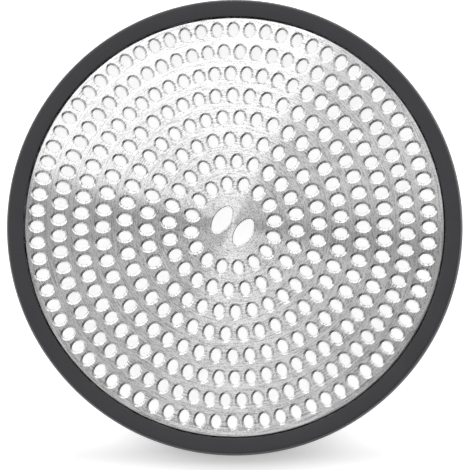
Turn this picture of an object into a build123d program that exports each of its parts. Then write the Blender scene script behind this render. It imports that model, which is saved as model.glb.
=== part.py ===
from build123d import *
import math
import os

# A drain strainer that lies on the floor of a sink or shower, over the waste hole.
# A shallow dome of stainless steel sheet is punched with rings of oval holes. Its edge is
# turned down and out into a flat flange, and a soft silicone rim grips that flange in a
# groove. Z is up, and the origin is the centre of the rim's foot. Sizes are in millimetres.

# Silicone rim: widths are measured inwards from its widest circle, heights up from its foot
rim_diameter = 115.0
seat_height = 4.6  # the ledge that the plate's flange lies on
lip_thickness = 1.6
lip_width = 4.4
ledge_width = 5.3
wall_lean = 0.5  # how far the outer wall leans in on its way up
foot_bevel = 0.5
shoulder_bevel = 0.6  # outer edge of the top

# Steel plate
sheet = 0.6
flange_grip = 2.4  # how far the flange reaches in under the lip
groove_clearance = 0.2  # from the flange's edge to the bottom of the groove
lip_gap = 0.3  # open ring between the lip and the plate's turned-down skirt
skirt_drop = 1.5
skirt_lean = 0.1
dome_rise = 3.6
crown_reach_share = 1.15  # of the dome's radius, for the square sheet that the dome is cut from

# Rings of oval holes, their long axes along the radius
ring_holes = (16, 24, 32, 40, 48, 60, 68, 76)
hole_length = 3.6
hole_width = 2.7
hole_sides = 6
bare_centre_radius = 8.78
bare_edge = 1.57  # from the outermost holes to the dome's edge
pattern_turn = -26.2  # degrees from +X to the spoke where every ring has a gap

# Two leaf-shaped slots, one each side of a bridge across the centre
slot_length = 8.7  # between the points where a slot's two arcs would meet
slot_width = 4.2
slot_tip_radius = 1.3
bridge = 2.0
slot_pair_turn = -30.4  # degrees from +X to the line through both slots' centres
slot_turn = 86.9  # degrees from that line to each slot's long axis

punch_overrun = 1.0

# Radii and heights that follow from the values above
rim_radius = rim_diameter / 2
lip_radius = rim_radius - lip_width
ledge_radius = rim_radius - ledge_width
flange_radius = lip_radius + flange_grip
groove_radius = flange_radius + groove_clearance
skirt_radius = lip_radius - lip_gap
dome_radius = skirt_radius - skirt_lean
flange_top = seat_height + sheet
rim_height = flange_top + lip_thickness
dome_edge = flange_top + skirt_drop
dome_top = dome_edge + dome_rise
skirt_slope = skirt_lean / skirt_drop
first_ring = bare_centre_radius + hole_length / 2
last_ring = dome_radius - bare_edge - hole_length / 2
ring_pitch = (last_ring - first_ring) / (len(ring_holes) - 1)

os.makedirs("parts", exist_ok=True)

# Silicone rim: lip, groove and ledge in one section, turned about Z
with BuildPart() as silicone_rim:
    with BuildSketch(Plane.XZ):
        with BuildLine():
            Polyline(
                (ledge_radius, 0),
                (rim_radius - foot_bevel, 0),
                (rim_radius, foot_bevel),
                (rim_radius - wall_lean, rim_height),
                (lip_radius, rim_height),
                (lip_radius, flange_top),
                (groove_radius, flange_top),
                (groove_radius, seat_height),
                (ledge_radius, seat_height),
                close=True,
            )
        section = make_face()
        chamfer(section.vertices().group_by(Axis.Y)[-1].sort_by(Axis.X)[-1], length=shoulder_bevel)
    revolve(axis=Axis.Z)

# Steel plate. Its dome falls with the square of the radius, so a square sheet that is a
# parabola along X and along Y has the dome's shape exactly. Half the side is crown_reach, and
# the middle control point of each parabola stands as far above the top as its ends lie below.
crown_reach = dome_radius * crown_reach_share
crown_fall = dome_rise * crown_reach_share**2
parabola = ((-crown_reach, crown_fall), (0, -crown_fall), (crown_reach, crown_fall))
crown_net = []
for x, fall_along_x in parabola:
    crown_net.append([(x, y, dome_top - fall_along_x - fall_along_y) for y, fall_along_y in parabola])
crown = Face.make_bezier_surface(crown_net)

# The space under the plate: everything inside the skirt and a sheet's thickness below the dome
with BuildPart() as hollow:
    with BuildSketch(Plane.XZ):
        with BuildLine():
            inner_foot = skirt_radius - sheet
            Polyline(
                (0, seat_height),
                (inner_foot, seat_height),
                (inner_foot - skirt_slope * (dome_top - seat_height), dome_top),
                (0, dome_top),
                close=True,
            )
        make_face()
    revolve(axis=Axis.Z)
    extrude(crown.moved(Location((0, 0, -sheet))), amount=dome_top, dir=(0, 0, -1), mode=Mode.INTERSECT)

# The plate: flange and skirt turned about Z, cut off by the dome, hollowed, then punched
with BuildPart() as strainer_plate:
    with BuildSketch(Plane.XZ):
        with BuildLine():
            Polyline(
                (0, seat_height),
                (flange_radius, seat_height),
                (flange_radius, flange_top),
                (skirt_radius, flange_top),
                (skirt_radius - skirt_slope * (dome_top - flange_top), dome_top),
                (0, dome_top),
                close=True,
            )
        make_face()
    revolve(axis=Axis.Z)
    extrude(crown, amount=dome_top, dir=(0, 0, -1), mode=Mode.INTERSECT)
    add(hollow.part, mode=Mode.SUBTRACT)

    # One oval, drawn with few sides because so many are punched. Its corners stand just
    # outside the ellipse, so that it passes as much water as the ellipse would.
    corner_share = math.sqrt(math.tau / hole_sides / math.sin(math.tau / hole_sides))
    corner_reach = hole_length / 2 * corner_share
    corner_spread = hole_width / 2 * corner_share
    oval = []
    for corner in range(hole_sides):
        turn = math.tau * (corner + 1 / 2) / hole_sides
        oval.append((corner_reach * math.cos(turn), corner_spread * math.sin(turn)))

    # One slot: two arcs that meet in rounded tips
    with BuildSketch(mode=Mode.PRIVATE) as slot:
        with BuildLine():
            side = ThreePointArc((-slot_length / 2, 0), (0, slot_width / 2), (slot_length / 2, 0))
            mirror(side, about=Plane.XZ)
        make_face()
        fillet(slot.vertices(), radius=slot_tip_radius)

    # The punch: every ring has a gap on the pattern's spoke, so its first hole is half a step on
    with BuildSketch():
        for ring, holes in enumerate(ring_holes):
            ring_radius = first_ring + ring_pitch * ring
            half_step = 180 / holes
            with PolarLocations(ring_radius, holes, start_angle=pattern_turn + half_step):
                Polygon(*oval)
        with PolarLocations((slot_width + bridge) / 2, 2, start_angle=slot_pair_turn):
            add(slot.sketch, rotation=slot_turn)
    extrude(amount=dome_top + punch_overrun, mode=Mode.SUBTRACT)

silicone_rim.part.label = "silicone_rim"
strainer_plate.part.label = "strainer_plate"
export_step(silicone_rim.part, "parts/silicone_rim.step")
export_step(strainer_plate.part, "parts/strainer_plate.step")
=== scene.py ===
# %% [markdown]
# # A sink strainer: punched steel dome in a silicone rim
# The real object has two pieces. A thin disc of stainless steel is pressed into a shallow
# dome, punched with eight rings of oval holes and brushed in circles. A soft dark rim is
# stretched over its edge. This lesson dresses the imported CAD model: it makes a finer mesh for
# each piece, gives each its material, and sets up the studio that the photograph shows.

# %% Load the frame
import math

import bmesh
import bpy
from mathutils import Matrix, Vector


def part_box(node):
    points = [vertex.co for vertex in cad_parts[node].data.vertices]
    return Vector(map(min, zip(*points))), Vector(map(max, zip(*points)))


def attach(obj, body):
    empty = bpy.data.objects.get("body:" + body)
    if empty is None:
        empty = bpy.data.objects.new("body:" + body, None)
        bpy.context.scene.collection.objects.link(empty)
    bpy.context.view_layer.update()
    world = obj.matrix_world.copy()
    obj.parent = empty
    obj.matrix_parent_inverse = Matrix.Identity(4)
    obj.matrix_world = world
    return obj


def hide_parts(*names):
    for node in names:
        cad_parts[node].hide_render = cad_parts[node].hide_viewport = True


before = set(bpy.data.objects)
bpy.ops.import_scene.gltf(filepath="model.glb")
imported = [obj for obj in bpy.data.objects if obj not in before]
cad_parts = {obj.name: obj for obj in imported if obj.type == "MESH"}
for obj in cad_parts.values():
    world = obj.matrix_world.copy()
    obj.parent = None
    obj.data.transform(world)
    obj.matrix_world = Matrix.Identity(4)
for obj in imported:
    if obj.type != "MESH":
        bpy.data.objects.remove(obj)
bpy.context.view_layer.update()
MM = 0.001
plate_low, plate_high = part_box("strainer_plate")
rim_low, rim_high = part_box("silicone_rim")
print("plate box in mm", [round(v / MM, 2) for v in (*plate_low, *plate_high)])
print("rim box in mm", [round(v / MM, 2) for v in (*rim_low, *rim_high)])

# %% [markdown]
# ## Sizes of the plate
# The plate's box gives its flange radius and its height. The rest are the sheet metal worker's
# sizes: how thick the sheet is, where the skirt turns down, and how high the dome stands. The
# dome falls with the square of the radius, which a shallow pressed dome follows closely.

# %% Plate sizes
SHEET = 0.6 * MM
FLANGE_WIDTH = 2.7 * MM
SKIRT_LEAN = 0.1 * MM
DOME_RISE = 3.6 * MM
flange_radius = plate_high.x
skirt_radius = flange_radius - FLANGE_WIDTH
dome_radius = skirt_radius - SKIRT_LEAN
seat = plate_low.z
flange_top = seat + SHEET
crown = plate_high.z
fall_per_squared_radius = DOME_RISE / dome_radius**2


def dome_height(radius):
    """Height of the dome's top face at a radius."""
    return crown - fall_per_squared_radius * radius**2


print("dome edge", round(dome_height(dome_radius) / MM, 2), "mm, crown", round(crown / MM, 2), "mm")

# %% [markdown]
# ## One rolled hole
# A punch drags the sheet's top face down with it, so every hole has a soft, rolled upper edge.
# Below the roll the metal is sheared, and its wall stands in a little over the opening.
# The roll's shape, with painted shade on it, draws the dark and bright crescents around the holes.
# Drawing 364 holes by hand is out of the question, and cutting them with booleans leaves poor
# shading. So one hole's edge is made as a small collar of quads: a flat margin, the roll in three
# steps, and the wall. The sheet is filled in around the collars later. Every point of a collar also
# carries a value, so that the material can polish the roll, give it painted shade, and give the
# sheared wall darker painted shade.

# %% Collar helper
MARGIN = 0.1 * MM
MIDDLE_SHARE = 0.4  # of the roll's width, out to its middle step
MIDDLE_DEPTH_SHARE = 0.45  # of the roll's depth, down to its middle step
LAST_DEPTH_SHARE = 0.8  # of the roll's depth, down to its steep last step
# Levels of a value along each collar: it sets the roll's polish, painted shade on the roll and
# darker painted shade on the wall.
PLAIN_FACE = 0.0
ROLL_START = 0.6  # where the roll starts
ON_ROLL = 1.0  # on the roll
ON_WALL = 2.0  # on the wall


def collar(name, outlines, roll, depth, burr, last_step):
    """A mesh of closed loops: a flat margin, the roll in three steps, and the sheared wall.

    Each outline is a function that gives one outline's points at an offset. The roll starts at
    the offset roll, sinks by depth and ends over the opening by burr, after a steep last step."""
    rows = [
        (roll + MARGIN, 0.0, PLAIN_FACE),
        (roll, 0.0, ROLL_START),
        (roll * MIDDLE_SHARE, -depth * MIDDLE_DEPTH_SHARE, ON_ROLL),
        (last_step - burr, -depth * LAST_DEPTH_SHARE, ON_ROLL),
        (-burr, -depth, ON_WALL),
        (-burr, -SHEET, ON_WALL),
    ]
    points, faces, polish_and_shade_values = [], [], []
    for outline in outlines:
        first = len(points)
        for offset, height, polish_and_shade in rows:
            loop = outline(offset)
            points += [(x, y, height) for x, y in loop]
            polish_and_shade_values += [polish_and_shade] * len(loop)
        count = len(loop)
        for row in range(len(rows) - 1):
            for k in range(count):
                here = first + row * count + k
                beside = first + row * count + (k + 1) % count
                faces.append((here, here + count, beside + count, beside))
    mesh = bpy.data.meshes.new(name)
    mesh.from_pydata(points, [], faces)
    # The value per point that places the roll's polish and the painted shade on roll and wall.
    mesh.attributes.new("polish_and_shade", "FLOAT", "POINT").data.foreach_set("value", polish_and_shade_values)
    piece = bpy.data.objects.new(name, mesh)
    bpy.context.scene.collection.objects.link(piece)
    print(name, "has", len(mesh.polygons), "faces")
    return piece


# %% Oval hole
HOLE_LENGTH = 3.6 * MM
HOLE_WIDTH = 2.7 * MM
HOLE_POINTS = 16
ROLL = 0.4 * MM
ROLL_DEPTH = 0.3 * MM
BURR = 0.1 * MM
LAST_STEP = 0.11 * MM


def oval(offset):
    """An ellipse, long along X, grown by offset."""
    half_length = HOLE_LENGTH / 2 + offset
    half_width = HOLE_WIDTH / 2 + offset
    turns = [math.tau * (k + 0.5) / HOLE_POINTS for k in range(HOLE_POINTS)]
    return [(half_length * math.cos(turn), half_width * math.sin(turn)) for turn in turns]


oval_collar = collar("oval_collar", [oval], ROLL, ROLL_DEPTH, BURR, LAST_STEP)

# %% [markdown]
# ## The two slots in the middle
# Two leaf-shaped slots lie side by side in the bare centre, with a narrow bridge between them.
# Each is two shallow arcs joined by round tips. An outline of arcs is easy to offset, because
# only the radii grow, so the same collar helper makes their edges. These are crisper than the
# holes' edges, with a smaller roll.

# %% Outline of a slot
SLOT_LENGTH = 8.7 * MM
SLOT_WIDTH = 4.2 * MM
SLOT_TIP = 1.3 * MM
SLOT_PAIR_TURN = math.radians(-30.4)
SLOT_TURN = math.radians(86.9)
TIP_STEPS = 10
SIDE_STEPS = 14


def leaf(offset, away):
    """A slot's outline grown by offset, with its middle away from the centre."""
    half = SLOT_LENGTH / 2
    rise = SLOT_WIDTH / 2
    side_radius = (half**2 + rise**2) / (2 * rise)
    side_centre = side_radius - rise
    tip_centre = math.sqrt((side_radius - SLOT_TIP) ** 2 - side_centre**2)
    reach = math.atan2(side_centre, tip_centre)
    arcs = [
        (tip_centre, 0, SLOT_TIP, -reach, reach, TIP_STEPS),
        (0, -side_centre, side_radius, reach, math.pi - reach, SIDE_STEPS),
        (-tip_centre, 0, SLOT_TIP, math.pi - reach, math.pi + reach, TIP_STEPS),
        (0, side_centre, side_radius, math.pi + reach, math.tau - reach, SIDE_STEPS),
    ]
    points = []
    for centre_x, centre_y, radius, start, end, steps in arcs:
        grown = radius + offset
        for k in range(steps):
            turn = start + (end - start) * k / steps
            points.append((centre_x + grown * math.cos(turn), centre_y + grown * math.sin(turn)))
    middle_x = away * math.cos(SLOT_PAIR_TURN)
    middle_y = away * math.sin(SLOT_PAIR_TURN)
    cosine = math.cos(SLOT_PAIR_TURN + SLOT_TURN)
    sine = math.sin(SLOT_PAIR_TURN + SLOT_TURN)
    return [(middle_x + cosine * x - sine * y, middle_y + sine * x + cosine * y) for x, y in points]


# %% Both slots
BRIDGE = 2.0 * MM
SLOT_ROLL = 0.12 * MM
SLOT_ROLL_DEPTH = 0.12 * MM
SLOT_BURR = 0.01 * MM
SLOT_LAST_STEP = 0.03 * MM
slot_away = (SLOT_WIDTH + BRIDGE) / 2
slot_outlines = [lambda offset: leaf(offset, slot_away), lambda offset: leaf(offset, -slot_away)]
slot_collars = collar(
    "slot_collars", slot_outlines, SLOT_ROLL, SLOT_ROLL_DEPTH, SLOT_BURR, SLOT_LAST_STEP
)

# %% [markdown]
# ## The turned edge of the plate
# At the dome's edge the sheet bends down into a skirt and out again into the flange that the
# rim grips. Its section is the same all the way round, so it is turned like work on a lathe.
# Real bends are round, so the helper below rounds each corner of a section with its own radius.

# %% Section and lathe helpers
def rounded(corners, steps=4):
    """A section through (radius, height, bend) corners, each bend drawn as an arc."""
    path = []
    for k, (x, z, bend) in enumerate(corners):
        if not bend or k in (0, len(corners) - 1):
            path.append((x, z))
            continue
        last_x, last_z, _ = corners[k - 1]
        next_x, next_z, _ = corners[k + 1]
        back = math.atan2(last_z - z, last_x - x)
        ahead = math.atan2(next_z - z, next_x - x)
        half = ((ahead - back + math.pi) % math.tau - math.pi) / 2
        reach = bend / math.sin(abs(half))
        middle = back + half
        centre_x = x + reach * math.cos(middle)
        centre_z = z + reach * math.sin(middle)
        spread = math.copysign(math.pi / 2 - abs(half), half)
        for step in range(steps + 1):
            turn = middle + math.pi + spread * (1 - 2 * step / steps)
            path.append((centre_x + bend * math.cos(turn), centre_z + bend * math.sin(turn)))
    return path


def lathe(name, path, count, closed):
    """The section turned about Z in count steps, as one mesh."""
    points, faces = [], []
    for radius, height in path:
        for k in range(count):
            turn = math.tau * k / count
            points.append((radius * math.cos(turn), radius * math.sin(turn), height))
    last = len(path) if closed else len(path) - 1
    for row in range(last):
        here = row * count
        below = (row + 1) % len(path) * count
        for k in range(count):
            ahead = (k + 1) % count
            faces.append((here + k, below + k, below + ahead, here + ahead))
    mesh = bpy.data.meshes.new(name)
    mesh.from_pydata(points, [], faces)
    piece = bpy.data.objects.new(name, mesh)
    bpy.context.scene.collection.objects.link(piece)
    print(name, "section has", len(path), "points")
    return piece


# %% Skirt and flange
EDGE_POINTS = 240
TOP_MARGIN = 0.5 * MM  # from the dome's edge in to the join with the punched sheet, above
FOOT_MARGIN = 0.9 * MM  # the same, below
DOME_BEND = 0.38 * MM
SKIRT_BEND = 0.25 * MM
FLANGE_BEND = 0.12 * MM
INNER_FOOT_BEND = 0.3 * MM
INNER_TOP_BEND = 0.03 * MM
top_join = dome_radius - TOP_MARGIN
foot_join = dome_radius - FOOT_MARGIN
skirt_slope = (skirt_radius - dome_radius) / (dome_height(dome_radius) - flange_top)
inner_top = dome_height(dome_radius - SHEET) - SHEET
inner_foot = skirt_radius - SHEET
edge_section = rounded(
    [
        (top_join, dome_height(top_join), 0),
        (dome_radius, dome_height(dome_radius), DOME_BEND),
        (skirt_radius, flange_top, SKIRT_BEND),
        (flange_radius, flange_top, FLANGE_BEND),
        (flange_radius, seat, FLANGE_BEND),
        (inner_foot, seat, INNER_FOOT_BEND),
        (inner_foot - skirt_slope * (inner_top - seat), inner_top, INNER_TOP_BEND),
        (foot_join, dome_height(foot_join) - SHEET, 0),
    ]
)
strainer = lathe("strainer_disc", edge_section, EDGE_POINTS, closed=False)

# %% [markdown]
# ## Punching the whole sheet with Geometry Nodes
# The holes follow a rule: eight rings at an even pitch, each hole turned to point outwards, and
# every ring with a gap on one common spoke. The photograph's plate was struck a little off its
# middle, so the pattern also has an offset. Geometry Nodes suit a rule like that, because the
# counts and spacings stay inputs that can be changed later. The tree rings the collars up,
# takes their open edges as curves, and fills the sheet between them, above and below. Then it
# lifts every point onto the dome and welds it all to the turned edge, so the plate comes out as
# one closed skin.

# %% Small helpers for node trees
def link(tree, source, target):
    """Joins an output socket to an input socket."""
    tree.links.new(source, target)


def add(tree, kind, **sources):
    """A new node, with each source linked to the input that has its name."""
    node = tree.nodes.new(kind)
    for title, source in sources.items():
        link(tree, source, node.inputs[title])
    return node


def maths(tree, operation, a, b=None):
    """A Math node's result. Each operand is a number or an output socket."""
    node = add(tree, "ShaderNodeMath")
    node.operation = operation
    for socket, value in zip(node.inputs, (a, b)):
        if isinstance(value, (int, float)):
            socket.default_value = value
        elif value is not None:
            link(tree, value, socket)
    return node.outputs[0]


def split(tree, vector):
    """The X, Y and Z of a vector socket."""
    return add(tree, "ShaderNodeSeparateXYZ", Vector=vector).outputs


def joined(tree, **sources):
    """A vector made of sockets for X, Y or Z, with zero for what isn't given."""
    return add(tree, "ShaderNodeCombineXYZ", **sources).outputs[0]


# %% Inputs of the punching tree
RING_HOLES = (16, 24, 32, 40, 48, 60, 68, 76)
inputs = {
    "Turned edge": "Geometry",
    "Hole collar": "Object",
    "Slot collars": "Object",
    "Steel": "Material",
    "First ring radius": "Float",
    "Ring pitch": "Float",
    "Pattern turn": "Float",
    "Pattern offset": "Vector",
    "Top join radius": "Float",
    "Foot join radius": "Float",
    "Edge points": "Int",
    "Sheet thickness": "Float",
    "Crown height": "Float",
    "Fall per squared radius": "Float",
}
inputs.update({f"Holes in ring {ring + 1}": "Int" for ring in range(len(RING_HOLES))})
punch = bpy.data.node_groups.new("punched sheet", "GeometryNodeTree")
for title, kind in inputs.items():
    punch.interface.new_socket(title, in_out="INPUT", socket_type=f"NodeSocket{kind}")
punch.interface.new_socket("Plate", in_out="OUTPUT", socket_type="NodeSocketGeometry")
given = add(punch, "NodeGroupInput").outputs
print("punching tree has", len(inputs), "inputs")

# %% Rings of points
rings = add(punch, "GeometryNodeJoinGeometry")
for ring in range(len(RING_HOLES)):
    holes = given[f"Holes in ring {ring + 1}"]
    step_out = maths(punch, "MULTIPLY", given["Ring pitch"], ring)
    radius = maths(punch, "ADD", given["First ring radius"], step_out)
    circle = add(punch, "GeometryNodeMeshCircle", Vertices=holes, Radius=radius)
    half_step = maths(punch, "DIVIDE", math.pi, holes)
    turn = joined(punch, Z=maths(punch, "ADD", given["Pattern turn"], half_step))
    turned = add(punch, "GeometryNodeTransform", Geometry=circle.outputs["Mesh"], Rotation=turn)
    link(punch, turned.outputs[0], rings.inputs[0])
print("holes in all", sum(RING_HOLES))

# %% Collars on the points
position = add(punch, "GeometryNodeInputPosition").outputs[0]
place = split(punch, position)
outwards = joined(punch, Z=maths(punch, "ARCTAN2", place["Y"], place["X"]))
oval_info = add(punch, "GeometryNodeObjectInfo", Object=given["Hole collar"])
stand = add(
    punch,
    "GeometryNodeInstanceOnPoints",
    Points=rings.outputs[0],
    Instance=oval_info.outputs["Geometry"],
    Rotation=outwards,
)
realized = add(punch, "GeometryNodeRealizeInstances", Geometry=stand.outputs[0])
slot_info = add(punch, "GeometryNodeObjectInfo", Object=given["Slot collars"])
collars = add(punch, "GeometryNodeJoinGeometry", Geometry=slot_info.outputs["Geometry"])
link(punch, realized.outputs[0], collars.inputs[0])
offset = given["Pattern offset"]
struck = add(punch, "GeometryNodeTransform", Geometry=collars.outputs[0], Translation=offset)

# %% Sheet filled in between the collars
neighbours = add(punch, "GeometryNodeInputMeshEdgeNeighbors")
open_edge = maths(punch, "LESS_THAN", neighbours.outputs["Face Count"], 2)
halfway_down = maths(punch, "MULTIPLY", given["Sheet thickness"], -0.5)
deep = maths(punch, "LESS_THAN", place["Z"], halfway_down)
high = maths(punch, "SUBTRACT", 1.0, deep)


def filled(level, radius):
    """The sheet between a border circle and the collars' open edges at one level."""
    chosen = maths(punch, "MULTIPLY", open_edge, level)
    outlines = add(punch, "GeometryNodeMeshToCurve", Mesh=struck.outputs[0], Selection=chosen)
    points = given["Edge points"]
    border = add(punch, "GeometryNodeCurvePrimitiveCircle", Resolution=points, Radius=radius)
    loops = add(punch, "GeometryNodeJoinGeometry", Geometry=border.outputs["Curve"])
    link(punch, outlines.outputs["Curve"], loops.inputs[0])
    return add(punch, "GeometryNodeFillCurve", Curve=loops.outputs[0]).outputs["Mesh"]


top_skin = filled(high, given["Top join radius"])
foot_skin = filled(deep, given["Foot join radius"])
drop = joined(punch, Z=maths(punch, "MULTIPLY", given["Sheet thickness"], -1.0))
lowered = add(punch, "GeometryNodeSetPosition", Geometry=foot_skin, Offset=drop)
flipped = add(punch, "GeometryNodeFlipFaces", Mesh=lowered.outputs[0])
skins = add(punch, "GeometryNodeJoinGeometry", Geometry=struck.outputs[0])
link(punch, top_skin, skins.inputs[0])
link(punch, flipped.outputs[0], skins.inputs[0])
print("punching tree has", len(punch.nodes), "nodes so far")

# %% Dome, weld and finish of the tree
WELD = 0.004 * MM
x_squared = maths(punch, "MULTIPLY", place["X"], place["X"])
y_squared = maths(punch, "MULTIPLY", place["Y"], place["Y"])
squared_radius = maths(punch, "ADD", x_squared, y_squared)
fall = maths(punch, "MULTIPLY", squared_radius, given["Fall per squared radius"])
lift = joined(punch, Z=maths(punch, "SUBTRACT", given["Crown height"], fall))
domed = add(punch, "GeometryNodeSetPosition", Geometry=skins.outputs[0], Offset=lift)
whole = add(punch, "GeometryNodeJoinGeometry", Geometry=domed.outputs[0])
link(punch, given["Turned edge"], whole.inputs[0])
welded = add(punch, "GeometryNodeMergeByDistance", Geometry=whole.outputs[0])
welded.inputs["Distance"].default_value = WELD
plain = add(punch, "GeometryNodeRealizeInstances", Geometry=welded.outputs[0])
coated = add(punch, "GeometryNodeSetMaterial", Geometry=plain.outputs[0], Material=given["Steel"])
add(punch, "NodeGroupOutput", Plate=coated.outputs[0])
print("punching tree has", len(punch.nodes), "nodes")

# %% [markdown]
# ## Brushed stainless steel
# The plate was brushed while it turned, so its scratches are circles, round a point a little off
# its middle. Such scratches spread a reflection along the radius and hardly at all round the
# circle, and that is what makes the bright and dark fans. A Principled shader does this with its
# anisotropy, along a tangent. Blender's own radial tangent turns about the middle of a piece
# alone, so the tangent is worked out here from Object coordinates, round the brush's own centre.
# The streaks are noise read in polar coordinates: it changes fast along the radius and slowly
# round the circle. The direction x/r, y/r is used in place of the angle, so the pattern has no
# seam.

# %% Shader helpers
def shader(name):
    """A new material, its node tree and its Principled shader."""
    material = bpy.data.materials.new(name)
    material.use_nodes = True
    tree = material.node_tree
    principled = next(node for node in tree.nodes if node.type == "BSDF_PRINCIPLED")
    return material, tree, principled


def vector_maths(tree, operation, a, b=None):
    """A Vector Math node's result. Each operand is a tuple or an output socket."""
    node = add(tree, "ShaderNodeVectorMath")
    node.operation = operation
    for socket, value in zip(node.inputs, (a, b)):
        if isinstance(value, tuple):
            socket.default_value = value
        elif value is not None:
            link(tree, value, socket)
    return node.outputs["Value" if operation == "LENGTH" else "Vector"]


def noise(tree, vector, scale, detail, roughness=0.5):
    """A noise value from 0 to 1 at a vector socket."""
    node = add(tree, "ShaderNodeTexNoise", Vector=vector)
    node.inputs["Scale"].default_value = scale
    node.inputs["Detail"].default_value = detail
    node.inputs["Roughness"].default_value = roughness
    return node.outputs["Fac"]


def span(tree, value, low, high, from_low=0.0, from_high=1.0):
    """A value carried from one range to another, clamped."""
    node = add(tree, "ShaderNodeMapRange", Value=value)
    node.inputs["From Min"].default_value = from_low
    node.inputs["From Max"].default_value = from_high
    node.inputs["To Min"].default_value = low
    node.inputs["To Max"].default_value = high
    return node.outputs["Result"]


# %% Helpers for colour and bump
def tinted(tree, value, tint):
    """A colour of one lightness with a faint tint."""
    node = add(tree, "ShaderNodeCombineColor")
    for socket, share in zip(node.inputs, tint):
        link(tree, maths(tree, "MULTIPLY", value, share), socket)
    return node.outputs[0]


def bumped(tree, height, strength, depth):
    """A normal that leans with a height value, for marks of one depth."""
    node = add(tree, "ShaderNodeBump", Height=height)
    node.inputs["Strength"].default_value = strength
    node.inputs["Distance"].default_value = depth
    return node.outputs[0]


# %% Directions on the plate
BRUSH_CENTRE = (-0.25 * MM, 0.85 * MM, 0.0)
FLATTEN = (1.0, 1.0, 0.0)
steel, tree, metal = shader("circular_brushed_steel")
coordinates = add(tree, "ShaderNodeTexCoord").outputs["Object"]
from_centre = vector_maths(tree, "SUBTRACT", coordinates, BRUSH_CENTRE)
flat = vector_maths(tree, "MULTIPLY", from_centre, FLATTEN)
spoke = vector_maths(tree, "NORMALIZE", flat)
reach = vector_maths(tree, "LENGTH", flat)
along = split(tree, spoke)
print("brushing runs round", [round(v / MM, 2) for v in BRUSH_CENTRE], "mm")

# %% Streaks and speckle
FINE_STREAK = 0.22 * MM
FINE_CHANGES = 15.0
BROAD_STREAK = 0.34 * MM
BROAD_CHANGES = 4.5
STREAK_ROUGHNESS = 0.6
SPECK = 0.32 * MM


def streaks(width, changes, detail):
    """Noise drawn out round the circle: a streak's width, and how fast it changes on its way."""
    x = maths(tree, "MULTIPLY", along["X"], changes)
    y = maths(tree, "MULTIPLY", along["Y"], changes)
    z = maths(tree, "DIVIDE", reach, width)
    return noise(tree, joined(tree, X=x, Y=y, Z=z), 1.0, detail, STREAK_ROUGHNESS)


fine = streaks(FINE_STREAK, FINE_CHANGES, detail=1.0)
broad = streaks(BROAD_STREAK, BROAD_CHANGES, detail=2.0)
speckle = noise(tree, coordinates, 1 / SPECK, detail=1.0)
print("streaks are", round(FINE_STREAK / MM, 2), "and", round(BROAD_STREAK / MM, 2), "mm wide")

# %% [markdown]
# ## Where the steel is lighter or darker
# Brushed steel isn't one grey. Streaks and speckle vary it. Most of a noise lies in the middle
# of its range, so that stretch is the one spread out into contrast. The rest is painted light and
# shade. Painted shade darkens the crevice between skirt and rim. The roll of each hole has painted
# shade, darker than the face, and its sheared wall darker painted shade still. The outer rings get
# painted light, a little brighter than the centre, and the last stretch before the dome's edge
# gets painted shade, a little darker again.

# %% Steel colour
MIDDLE_OF_NOISE = (0.25, 0.75)
STEEL_LIGHTNESS = 0.8
FINE_CONTRAST = 0.25
BROAD_CONTRAST = 0.24
SPECKLE_CONTRAST = 0.27
# Painted shade in the crevice between skirt and rim, over a height above the flange.
CREVICE_PAINTED_SHADE = 0.55
CREVICE_HEIGHT = 0.9 * MM
# Painted shade on each hole's roll, and darker painted shade on its wall.
ROLL_PAINTED_SHADE = 0.15
WALL_PAINTED_SHADE = 0.6
# Painted light on the outer rings, and painted shade just before the dome's edge.
OUTER_PAINTED_LIGHT = 0.08
OUTER_REACH = (15.0 * MM, 46.0 * MM)
EDGE_PAINTED_SHADE = 0.05
EDGE_REACH = (49.5 * MM, 51.5 * MM)
STEEL_TINT = (0.998, 0.996, 1.0)
# The collar value that places the painted shade on rolls and walls, and the rolls' polish.
polish_and_shade_node = add(tree, "ShaderNodeAttribute")
polish_and_shade_node.attribute_name = "polish_and_shade"
polish_and_shade = polish_and_shade_node.outputs["Fac"]
height = split(tree, coordinates)["Z"]
changes = (
    span(tree, fine, -FINE_CONTRAST, FINE_CONTRAST, *MIDDLE_OF_NOISE),
    span(tree, broad, -BROAD_CONTRAST, BROAD_CONTRAST, *MIDDLE_OF_NOISE),
    span(tree, speckle, -SPECKLE_CONTRAST, SPECKLE_CONTRAST, *MIDDLE_OF_NOISE),
    span(tree, height, -CREVICE_PAINTED_SHADE, 0.0, flange_top, flange_top + CREVICE_HEIGHT),
    span(tree, polish_and_shade, 0.0, -ROLL_PAINTED_SHADE, PLAIN_FACE, ON_ROLL),
    span(tree, polish_and_shade, 0.0, -WALL_PAINTED_SHADE, ON_ROLL, ON_WALL),
    span(tree, reach, 0.0, OUTER_PAINTED_LIGHT, *OUTER_REACH),
    span(tree, reach, 0.0, -EDGE_PAINTED_SHADE, *EDGE_REACH),
)
lightness = STEEL_LIGHTNESS
for change in changes:
    lightness = maths(tree, "ADD", lightness, change)
link(tree, tinted(tree, lightness, STEEL_TINT), metal.inputs["Base Color"])
print("steel's lightness varies in", len(changes), "ways")

# %% [markdown]
# ## Gloss and scratches
# The streaks vary the gloss a little, and the roll of each hole is more polished. The tangent at
# a point is its spoke turned a quarter round Z, which a cross product gives, and it is carried
# to world space, where the shader expects it. The shader's own quarter turn then spreads the
# gloss along the spoke. A shallow bump from the fine streaks adds the scratches.

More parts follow.
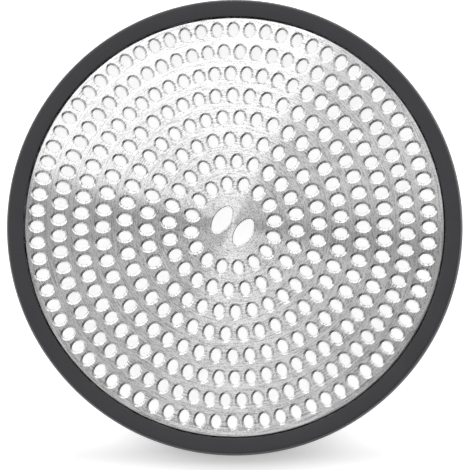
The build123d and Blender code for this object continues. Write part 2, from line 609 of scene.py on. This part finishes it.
# %% Steel gloss
SMOOTHEST = 0.27
ROUGHEST = 0.31
FINE_ROUGHNESS = 0.02
ROLL_POLISH = 0.05
QUARTER_TURN = 0.25
SCRATCH_STRENGTH = 0.5
SCRATCH_DEPTH = 0.01 * MM
broad_rough = span(tree, broad, SMOOTHEST, ROUGHEST, *MIDDLE_OF_NOISE)
fine_rough = span(tree, fine, -FINE_ROUGHNESS, FINE_ROUGHNESS, *MIDDLE_OF_NOISE)
rough = maths(tree, "ADD", broad_rough, fine_rough)
rough = maths(tree, "SUBTRACT", rough, span(tree, polish_and_shade, 0.0, ROLL_POLISH, PLAIN_FACE, ON_ROLL))
link(tree, rough, metal.inputs["Roughness"])
metal.inputs["Metallic"].default_value = 1.0
metal.inputs["Anisotropic"].default_value = 1.0
metal.inputs["Anisotropic Rotation"].default_value = QUARTER_TURN
tangent = vector_maths(tree, "CROSS_PRODUCT", (0.0, 0.0, 1.0), spoke)
carried = add(tree, "ShaderNodeVectorTransform", Vector=tangent)
carried.vector_type = "VECTOR"
carried.convert_from = "OBJECT"
carried.convert_to = "WORLD"
link(tree, carried.outputs[0], metal.inputs["Tangent"])
link(tree, bumped(tree, fine, SCRATCH_STRENGTH, SCRATCH_DEPTH), metal.inputs["Normal"])
print("steel has", len(tree.nodes), "nodes")

# %% [markdown]
# ## Running the tree
# The tree becomes a modifier on the turned edge. Its inputs are set by their sockets'
# identifiers before Blender first works the object out. The result is then taken as a plain
# mesh, because an exported model keeps no modifiers or instances, and the helper pieces go. The
# soft rim lets the plate sit a hair off its middle, so the finished mesh is moved by that much.

# %% Punch the plate
BARE_CENTRE = 8.78 * MM
BARE_EDGE = 1.57 * MM
PATTERN_TURN = math.radians(-26.2)
PATTERN_OFFSET = (-0.37 * MM, 0.29 * MM, 0.0)
first_ring = BARE_CENTRE + HOLE_LENGTH / 2
last_ring = dome_radius - BARE_EDGE - HOLE_LENGTH / 2
values = {
    "Hole collar": oval_collar,
    "Slot collars": slot_collars,
    "Steel": steel,
    "First ring radius": first_ring,
    "Ring pitch": (last_ring - first_ring) / (len(RING_HOLES) - 1),
    "Pattern turn": PATTERN_TURN,
    "Pattern offset": PATTERN_OFFSET,
    "Top join radius": top_join,
    "Foot join radius": foot_join,
    "Edge points": EDGE_POINTS,
    "Sheet thickness": SHEET,
    "Crown height": crown,
    "Fall per squared radius": fall_per_squared_radius,
}
values.update({f"Holes in ring {ring + 1}": holes for ring, holes in enumerate(RING_HOLES)})
modifier = strainer.modifiers.new("punch", "NODES")
modifier.node_group = punch
for item in punch.interface.items_tree:
    if item.in_out == "INPUT" and item.name in values:
        modifier[item.identifier] = values[item.name]
bpy.context.view_layer.update()
print("rings are", round(values["Ring pitch"] / MM, 2), "mm apart")

# %% Take the plain mesh
evaluated = strainer.evaluated_get(bpy.context.evaluated_depsgraph_get())
plain_mesh = bpy.data.meshes.new_from_object(evaluated)
strainer.modifiers.clear()
strainer.data = plain_mesh
for helper in (oval_collar, slot_collars):
    bpy.data.objects.remove(helper)
print("punched plate has", len(plain_mesh.polygons), "faces")

# %% Finish the plate's mesh
DOUBLES = 0.001 * MM
PLATE_SHARP = math.radians(42)
SEAT_OFFSET = (0.05 * MM, -0.05 * MM, 0.0)


def finish_mesh(piece, sharp_angle):
    """Outward faces, smooth shading with crisp edges over an angle, and a count of open edges."""
    shape = bmesh.new()
    shape.from_mesh(piece.data)
    bmesh.ops.remove_doubles(shape, verts=shape.verts, dist=DOUBLES)
    bmesh.ops.recalc_face_normals(shape, faces=shape.faces)
    open_edges = sum(1 for edge in shape.edges if len(edge.link_faces) != 2)
    volume = shape.calc_volume(signed=True)
    shape.to_mesh(piece.data)
    shape.free()
    for face in piece.data.polygons:
        face.use_smooth = True
    piece.data.set_sharp_from_angle(angle=sharp_angle)
    print(piece.name, "has", len(piece.data.polygons), "faces and", open_edges, "open edges")
    print(piece.name, "has a volume of", round(volume / MM**3), "mm3")


finish_mesh(strainer, PLATE_SHARP)
strainer.data.transform(Matrix.Translation(SEAT_OFFSET))

# %% [markdown]
# ## The silicone rim
# The rim is one moulded ring. Its lip lies over the plate's flange and its ledge under it, with
# the groove between them, and its foot rests on the floor. A mould leaves every edge a little
# round, and the outer wall leans in so that the ring comes out of the mould. It is turned from
# one closed section, with the groove in it, by the helpers that made the plate's edge. They
# leave the two ends of a section as they are, so this one starts and ends at the same point of
# the straight wall under the ledge, and that point is then used once.

# %% Turn the rim
RIM_POINTS = 256
RIM_BEND_STEPS = 6
RIM_SHARP = math.radians(60)
LIP = 4.4 * MM
LEDGE = 5.3 * MM
LEAN = 0.5 * MM  # of the outer wall, on its way up
FOOT_FLARE = 0.035 * MM  # the wall's line runs out this far at the floor, before the foot's bend
GROOVE_CLEARANCE = 0.2 * MM
SEAM_HEIGHT = 2.2 * MM  # where the section starts and ends
OUTER_BEND = 0.5 * MM
INNER_BEND = 0.3 * MM
LIP_BEND = 0.16 * MM
LIP_FOOT_BEND = 0.12 * MM
GROOVE_BEND = 0.05 * MM
rim_radius = rim_high.x
rim_top = rim_high.z
lip_radius = rim_radius - LIP
ledge_radius = rim_radius - LEDGE
groove_radius = flange_radius + GROOVE_CLEARANCE
rim_section = rounded(
    [
        (ledge_radius, SEAM_HEIGHT, 0),
        (ledge_radius, rim_low.z, INNER_BEND),
        (rim_radius + FOOT_FLARE, rim_low.z, OUTER_BEND),
        (rim_radius - LEAN, rim_top, OUTER_BEND),
        (lip_radius, rim_top, LIP_BEND),
        (lip_radius, flange_top, LIP_FOOT_BEND),
        (groove_radius, flange_top, GROOVE_BEND),
        (groove_radius, seat, GROOVE_BEND),
        (ledge_radius, seat, INNER_BEND),
        (ledge_radius, SEAM_HEIGHT, 0),
    ],
    steps=RIM_BEND_STEPS,
)
rim = lathe("rim_ring", rim_section[:-1], RIM_POINTS, closed=True)
finish_mesh(rim, RIM_SHARP)

# %% [markdown]
# ## Dark silicone
# The ring is charcoal and matt, a touch blue, and hardly lighter along its rounded edges.
# Moulded silicone has a fine dusty tooth, and it clouds a little from place to place. So a
# coarse noise varies the colour and roughness, and a fine one gives the tooth.

# %% Silicone material
CLOUD = 9 * MM
TOOTH = 0.22 * MM
DARKEST = 0.049
LIGHTEST = 0.057
TOOTH_CONTRAST = 0.008
SATIN = 0.56
MATT = 0.68
CORE_OF_NOISE = (0.3, 0.7)
SILICONE_TINT = (1.0, 0.993, 1.075)
SILICONE_SPECULAR = 0.3
TOOTH_STRENGTH = 0.25
TOOTH_DEPTH = 0.01 * MM
silicone, tree, rubber = shader("charcoal_silicone")
coordinates = add(tree, "ShaderNodeTexCoord").outputs["Object"]
cloud = noise(tree, coordinates, 1 / CLOUD, detail=3.0)
tooth = noise(tree, coordinates, 1 / TOOTH, detail=2.0)
cloud_tone = span(tree, cloud, DARKEST, LIGHTEST, *CORE_OF_NOISE)
tooth_tone = span(tree, tooth, -TOOTH_CONTRAST, TOOTH_CONTRAST, *CORE_OF_NOISE)
tone = maths(tree, "ADD", cloud_tone, tooth_tone)
link(tree, tinted(tree, tone, SILICONE_TINT), rubber.inputs["Base Color"])
link(tree, span(tree, cloud, SATIN, MATT, *CORE_OF_NOISE), rubber.inputs["Roughness"])
link(tree, bumped(tree, tooth, TOOTH_STRENGTH, TOOTH_DEPTH), rubber.inputs["Normal"])
rubber.inputs["Specular IOR Level"].default_value = SILICONE_SPECULAR
rim.data.materials.append(silicone)
print("silicone has", len(tree.nodes), "nodes")

# %% [markdown]
# ## Camera
# The photograph looks straight down on the strainer from far away, so the ring's outline is a
# circle and the holes show hardly any side. A long lens from two and a half metres does the
# same. It stands a little more than a degree off the vertical, towards the picture's lower right.

# %% Camera
CAMERA_AWAY = 2.5
VIEW_WIDTH = 118.53 * MM
SENSOR_WIDTH = 36.0  # in millimetres, as Blender's lenses are
TILT = math.radians(0.9)  # to the right, and as much again down the picture
AIM = (0.084 * MM, -1.874 * MM, 0.5 * MM)  # what the middle of the picture shows
towards = Vector((math.sin(TILT), -math.sin(TILT), 1.0)).normalized()
right = Vector((0, 1, 0)).cross(towards).normalized()
up = towards.cross(right)
camera_data = bpy.data.cameras.new("camera")
camera_data.sensor_width = SENSOR_WIDTH
camera_data.lens = SENSOR_WIDTH * CAMERA_AWAY / VIEW_WIDTH
camera = bpy.data.objects.new("camera", camera_data)
facing = Matrix((right, up, towards)).transposed().to_4x4()
camera.matrix_world = Matrix.Translation(Vector(AIM) + towards * CAMERA_AWAY) @ facing
bpy.context.scene.collection.objects.link(camera)
bpy.context.scene.camera = camera
print("lens in mm", round(camera_data.lens))

# %% [markdown]
# ## Floor
# The floor is white paper, which also takes the strainer's own soft shadow. It looks white
# without more light on the object because it glows, but only towards the camera and in
# reflections. Under the plate the glow is what the holes show, a little weaker in the middle as
# painted shade, where less light gets in. Outside the rim it fades in a long, soft patch below the
# strainer in the picture, a painted shadow added to the real one.

# %% Floor
FLOOR_HALF = 3.0
PAPER_GREY = 0.8
corners = [(x * FLOOR_HALF, y * FLOOR_HALF, 0) for x, y in ((-1, -1), (1, -1), (1, 1), (-1, 1))]
floor_mesh = bpy.data.meshes.new("floor")
floor_mesh.from_pydata(corners, [], [(0, 1, 2, 3)])
floor = bpy.data.objects.new("floor", floor_mesh)
bpy.context.scene.collection.objects.link(floor)
paper = bpy.data.materials.new("white_paper")
paper.use_nodes = True
tree = paper.node_tree
tree.nodes.clear()
matt = add(tree, "ShaderNodeBsdfDiffuse")
matt.inputs["Color"].default_value = (PAPER_GREY, PAPER_GREY, PAPER_GREY, 1.0)
glow = add(tree, "ShaderNodeEmission")
both = add(tree, "ShaderNodeAddShader")
link(tree, matt.outputs[0], both.inputs[0])
link(tree, glow.outputs[0], both.inputs[1])
add(tree, "ShaderNodeOutputMaterial", Surface=both.outputs[0])
floor.data.materials.append(paper)
print("floor is", 2 * FLOOR_HALF, "m wide")

# %% Glow of the paper
PLATE_REACH = (53.0 * MM, 54.0 * MM)
# Painted shade: under the plate the glow is weaker in the middle.
MIDDLE_REACH = (44.0 * MM, 52.0 * MM)
MIDDLE_GLOW = 0.60
OUTER_GLOW = 0.76
# A painted shadow: the glow is weaker in a long, soft patch below the strainer.
PAINTED_SHADOW_CENTRE = (-5.0 * MM, -57.5 * MM)
PAINTED_SHADOW_HALF = (110.0 * MM, 7.0 * MM)
PAINTED_SHADOW_FADE_SHARES = (0.2, 1.3)  # of the shadow's half sizes
PAINTED_SHADOW_GLOW = 0.33
OPEN_GLOW = 0.95
place = add(tree, "ShaderNodeTexCoord").outputs["Object"]
away = vector_maths(tree, "LENGTH", place)
under = span(tree, away, 1.0, 0.0, *PLATE_REACH)
through_holes = span(tree, away, MIDDLE_GLOW, OUTER_GLOW, *MIDDLE_REACH)
shadow = add(tree, "ShaderNodeMapping", Vector=place)
shadow_place = [-centre / half for centre, half in zip(PAINTED_SHADOW_CENTRE, PAINTED_SHADOW_HALF)]
shadow.inputs["Location"].default_value = (*shadow_place, 0.0)
shadow.inputs["Scale"].default_value = (*[1 / half for half in PAINTED_SHADOW_HALF], 1.0)
shadow_reach = vector_maths(tree, "LENGTH", shadow.outputs[0])
beside = span(tree, shadow_reach, PAINTED_SHADOW_GLOW, OPEN_GLOW, *PAINTED_SHADOW_FADE_SHARES)
around = maths(tree, "MULTIPLY", beside, maths(tree, "SUBTRACT", 1.0, under))
brightness = maths(tree, "ADD", maths(tree, "MULTIPLY", under, through_holes), around)
path = add(tree, "ShaderNodeLightPath").outputs
seen = maths(tree, "MAXIMUM", path["Is Camera Ray"], path["Is Glossy Ray"])
seen = maths(tree, "MAXIMUM", seen, path["Is Transmission Ray"])
link(tree, maths(tree, "MULTIPLY", seen, brightness), glow.inputs["Strength"])
print("paper has", len(tree.nodes), "nodes")

# %% [markdown]
# ## A tent of panels
# The light is a tent of soft panels round the object: a broad bright one above it in the
# picture, weaker ones at the sides, and dark gaps between them. Circular brushing turns each
# panel and each gap into a fan. The tent has two heights. The nearly level dome mostly mirrors
# the high panels, while the rim's walls and the holes' edges also see the low ones, which vary
# less. A stop is an angle in degrees, counted from the picture's right towards its top, and the
# strength there. Where the strength changes fast, a fan gets a sharp border.

# %% Strengths of the panels
HIGH_PANELS = (
    (0, 0.34), (10, 0.68), (22, 0.86), (45, 0.76), (61, 0.68), (65, 0.88), (68.5, 2.25), (80, 1.96),
    (115, 1.87), (140, 1.76), (150, 1.84), (156, 1.78), (162, 2.10), (164.4, 0.20), (169, 0.05),
    (178, 0.12), (200, 0.32), (222, 0.38), (238, 0.14), (262, 0.34), (286, 0.36), (298, 0.27),
    (308, 0.04), (330, 0.02), (340, 0.04), (350, 0.02), (356, 0.10),
)
LOW_PANELS = (
    (0, 1.10), (30, 1.20), (60, 1.20), (70, 2.00), (155, 2.00), (166, 1.00), (200, 1.10),
    (240, 1.10), (275, 0.90), (290, 0.10), (330, 0.05), (345, 0.60),
)
BRIGHTEST = 2.5  # what a stop's full colour stands for
GAIN = 1.12  # of the whole tent
world = bpy.data.worlds.new("tent")
bpy.context.scene.world = world
world.use_nodes = True
tree = world.node_tree
tree.nodes.clear()
direction = split(tree, add(tree, "ShaderNodeTexCoord").outputs["Generated"])
azimuth = maths(tree, "ARCTAN2", direction["Y"], direction["X"])
turns = maths(tree, "ADD", maths(tree, "DIVIDE", azimuth, math.tau), 1.0)
compass = maths(tree, "FRACT", turns)


def panels(stops):
    """Strength of the tent round the compass, between (degrees, strength) stops."""
    node = add(tree, "ShaderNodeValToRGB", Fac=compass)
    ramp = node.color_ramp
    while len(ramp.elements) < len(stops):
        ramp.elements.new(0.5)
    for stop, (degrees, strength) in zip(ramp.elements, stops):
        stop.position = degrees / 360
        stop.color = (*[strength / BRIGHTEST] * 3, 1.0)
    return maths(tree, "MULTIPLY", node.outputs["Color"], BRIGHTEST * GAIN)


high_panels = panels(HIGH_PANELS)
low_panels = panels(LOW_PANELS)
print("tent has", len(HIGH_PANELS), "high and", len(LOW_PANELS), "low stops")

# %% Both heights of the tent
RAISED = (0.35, 0.75)  # sines of the angles between which low panels give way to high ones
raised = span(tree, direction["Z"], 0.0, 1.0, *RAISED)
high_light = maths(tree, "MULTIPLY", high_panels, raised)
low_light = maths(tree, "MULTIPLY", low_panels, maths(tree, "SUBTRACT", 1.0, raised))
tent = maths(tree, "ADD", high_light, low_light)
camera_ray = add(tree, "ShaderNodeLightPath").outputs["Is Camera Ray"]
lighting = maths(tree, "MULTIPLY", tent, maths(tree, "SUBTRACT", 1.0, camera_ray))
sky = add(tree, "ShaderNodeBackground", Strength=maths(tree, "ADD", lighting, camera_ray))
add(tree, "ShaderNodeOutputWorld", Surface=sky.outputs[0])
print("world has", len(tree.nodes), "nodes")

# %% [markdown]
# ## Hand the pieces to the frame
# Each visible mesh stands for one CAD node and rides on the part's one body.

# %% Dress the frame
dressed = (
    (strainer, "strainer_plate", "brushed_plate"),
    (rim, "silicone_rim", "charcoal_silicone"),
)
for piece, node, finish_slot in dressed:
    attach(piece, "root")
    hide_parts(node)

bpy.context.scene.view_settings.view_transform = "Standard"
